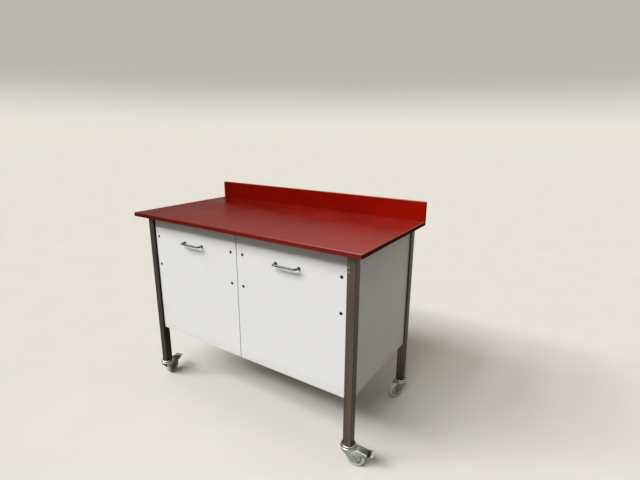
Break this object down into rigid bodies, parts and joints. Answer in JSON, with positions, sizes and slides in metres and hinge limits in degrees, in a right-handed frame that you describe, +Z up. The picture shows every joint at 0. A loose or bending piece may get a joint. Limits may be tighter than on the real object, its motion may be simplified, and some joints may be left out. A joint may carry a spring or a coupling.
{
  "type": "mobile cutting table",
  "caption": "Mobile cutting table: thick plastic top with a rear upstand, square-tube frame with plastic panels, tall pull-out drawers with bow handles, swivel casters with brakes.",
  "frame": {"origin": "on the floor, under the middle of the table top", "axes": "+X to the right along the table's width, +Y to the back where the upstand is, +Z up"},
  "size_m": [1.4481, 0.707, 1.117],
  "materials": {
    "red_plastic": "semi-gloss polyethylene, lightly worn",
    "white_plastic": "smooth polyethylene sheet",
    "stainless_tube": "ground stainless tube",
    "stainless_sheet": "satin stainless sheet",
    "bright_steel": "polished stainless",
    "bolt_steel": "blackened steel, polished by wear",
    "screw_steel": "plain stainless",
    "slide_steel": "zinc-plated sheet",
    "zinc_steel": "bright zinc plate",
    "wheel_plastic": "moulded nylon",
    "wheel_rubber": "grey non-marking rubber",
    "plug_plastic": "moulded plastic"
  },
  "bodies": {
    "table": {"tabletop": "red_plastic", "backsplash": "red_plastic", "backsplash_screws": "screw_steel", "top_screws": "screw_steel", "leg_front_left": "stainless_tube", "leg_front_right": "stainless_tube", "leg_rear_left": "stainless_tube", "leg_rear_right": "stainless_tube", "top_rail_front": "stainless_tube", "top_rail_rear": "stainless_tube", "top_rail_left": "stainless_tube", "top_rail_right": "stainless_tube", "bottom_rail_front": "stainless_tube", "bottom_rail_rear": "stainless_tube", "bottom_rail_left": "stainless_tube", "bottom_rail_right": "stainless_tube", "runner_rail_left": "stainless_tube", "runner_rail_right": "stainless_tube", "side_panel_left": "white_plastic", "side_panel_right": "white_plastic", "back_panel": "white_plastic", "bottom_panel": "white_plastic", "partition": "white_plastic", "panel_screws": "screw_steel", "leg_plugs": "plug_plastic", "caster_heads": "zinc_steel", "slide_fixed_left": "slide_steel", "slide_fixed_right": "slide_steel"},
    "left_drawer": {"drawer_front_left": "white_plastic", "drawer_tray_left": "stainless_sheet", "drawer_handle_left": "bright_steel", "front_bolts_left": "bolt_steel", "handle_screws_left": "screw_steel", "slide_running_left": "slide_steel"},
    "left_slide_middle": {"slide_middle_left": "slide_steel"},
    "right_drawer": {"drawer_front_right": "white_plastic", "drawer_tray_right": "stainless_sheet", "drawer_handle_right": "bright_steel", "front_bolts_right": "bolt_steel", "handle_screws_right": "screw_steel", "slide_running_right": "slide_steel"},
    "right_slide_middle": {"slide_middle_right": "slide_steel"},
    "front_right_fork": {"caster_fork_front_right": "zinc_steel", "caster_axle_front_right": "zinc_steel"},
    "front_right_wheel": {"wheel_core_front_right": "wheel_plastic", "tyre_front_right": "wheel_rubber"},
    "front_right_pedal": {"brake_pedal_front_right": "zinc_steel"},
    "front_left_fork": {"caster_fork_front_left": "zinc_steel", "caster_axle_front_left": "zinc_steel"},
    "front_left_wheel": {"wheel_core_front_left": "wheel_plastic", "tyre_front_left": "wheel_rubber"},
    "front_left_pedal": {"brake_pedal_front_left": "zinc_steel"},
    "rear_right_fork": {"caster_fork_rear_right": "zinc_steel", "caster_axle_rear_right": "zinc_steel"},
    "rear_right_wheel": {"wheel_core_rear_right": "wheel_plastic", "tyre_rear_right": "wheel_rubber"},
    "rear_left_fork": {"caster_fork_rear_left": "zinc_steel", "caster_axle_rear_left": "zinc_steel"},
    "rear_left_wheel": {"wheel_core_rear_left": "wheel_plastic", "tyre_rear_left": "wheel_rubber"}
  },
  "joints": [
    {"name": "left_drawer_slide", "type": "slide", "parent": "table", "child": "left_drawer", "axis": [0, -1, 0], "range_m": [0, 0.45]},
    {"name": "left_middle_slide", "type": "slide", "parent": "table", "child": "left_slide_middle", "axis": [0, -1, 0], "range_m": [0, 0.225]},
    {"name": "right_drawer_slide", "type": "slide", "parent": "table", "child": "right_drawer", "axis": [0, -1, 0], "range_m": [0, 0.45]},
    {"name": "right_middle_slide", "type": "slide", "parent": "table", "child": "right_slide_middle", "axis": [0, -1, 0], "range_m": [0, 0.225]},
    {"name": "front_right_swivel", "type": "hinge", "parent": "table", "child": "front_right_fork", "pos_m": [0.63, -0.28, 0.094], "axis": [0, 0, 1], "continuous": true},
    {"name": "front_right_roll", "type": "hinge", "parent": "front_right_fork", "child": "front_right_wheel", "pos_m": [0.66687, -0.27081, 0.0425], "axis": [-0.2419, 0.9703, 0], "continuous": true},
    {"name": "front_right_brake", "type": "hinge", "parent": "front_right_fork", "child": "front_right_pedal", "pos_m": [0.64941, -0.27516, 0.079], "axis": [-0.2419, 0.9703, 0], "range_deg": [0, 5]},
    {"name": "front_left_swivel", "type": "hinge", "parent": "table", "child": "front_left_fork", "pos_m": [-0.63, -0.28, 0.094], "axis": [0, 0, 1], "continuous": true},
    {"name": "front_left_roll", "type": "hinge", "parent": "front_left_fork", "child": "front_left_wheel", "pos_m": [-0.63984, -0.24329, 0.0425], "axis": [-0.9659, -0.2588, 0], "continuous": true},
    {"name": "front_left_brake", "type": "hinge", "parent": "front_left_fork", "child": "front_left_pedal", "pos_m": [-0.63518, -0.26068, 0.079], "axis": [-0.9659, -0.2588, 0], "range_deg": [0, 5]},
    {"name": "rear_right_swivel", "type": "hinge", "parent": "table", "child": "rear_right_fork", "pos_m": [0.63, 0.32, 0.094], "axis": [0, 0, 1], "continuous": true},
    {"name": "rear_right_roll", "type": "hinge", "parent": "rear_right_fork", "child": "rear_right_wheel", "pos_m": [0.61454, 0.28529, 0.0425], "axis": [0.9135, -0.4067, 0], "continuous": true},
    {"name": "rear_left_swivel", "type": "hinge", "parent": "table", "child": "rear_left_fork", "pos_m": [-0.63, 0.32, 0.094], "axis": [0, 0, 1], "continuous": true},
    {"name": "rear_left_roll", "type": "hinge", "parent": "rear_left_fork", "child": "rear_left_wheel", "pos_m": [-0.611, 0.28709, 0.0425], "axis": [0.866, 0.5, 0], "continuous": true}
  ],
  "couplings": [
    {"joint": "left_middle_slide", "follows": "left_drawer_slide", "ratio": 0.5},
    {"joint": "right_middle_slide", "follows": "right_drawer_slide", "ratio": 0.5}
  ]
}
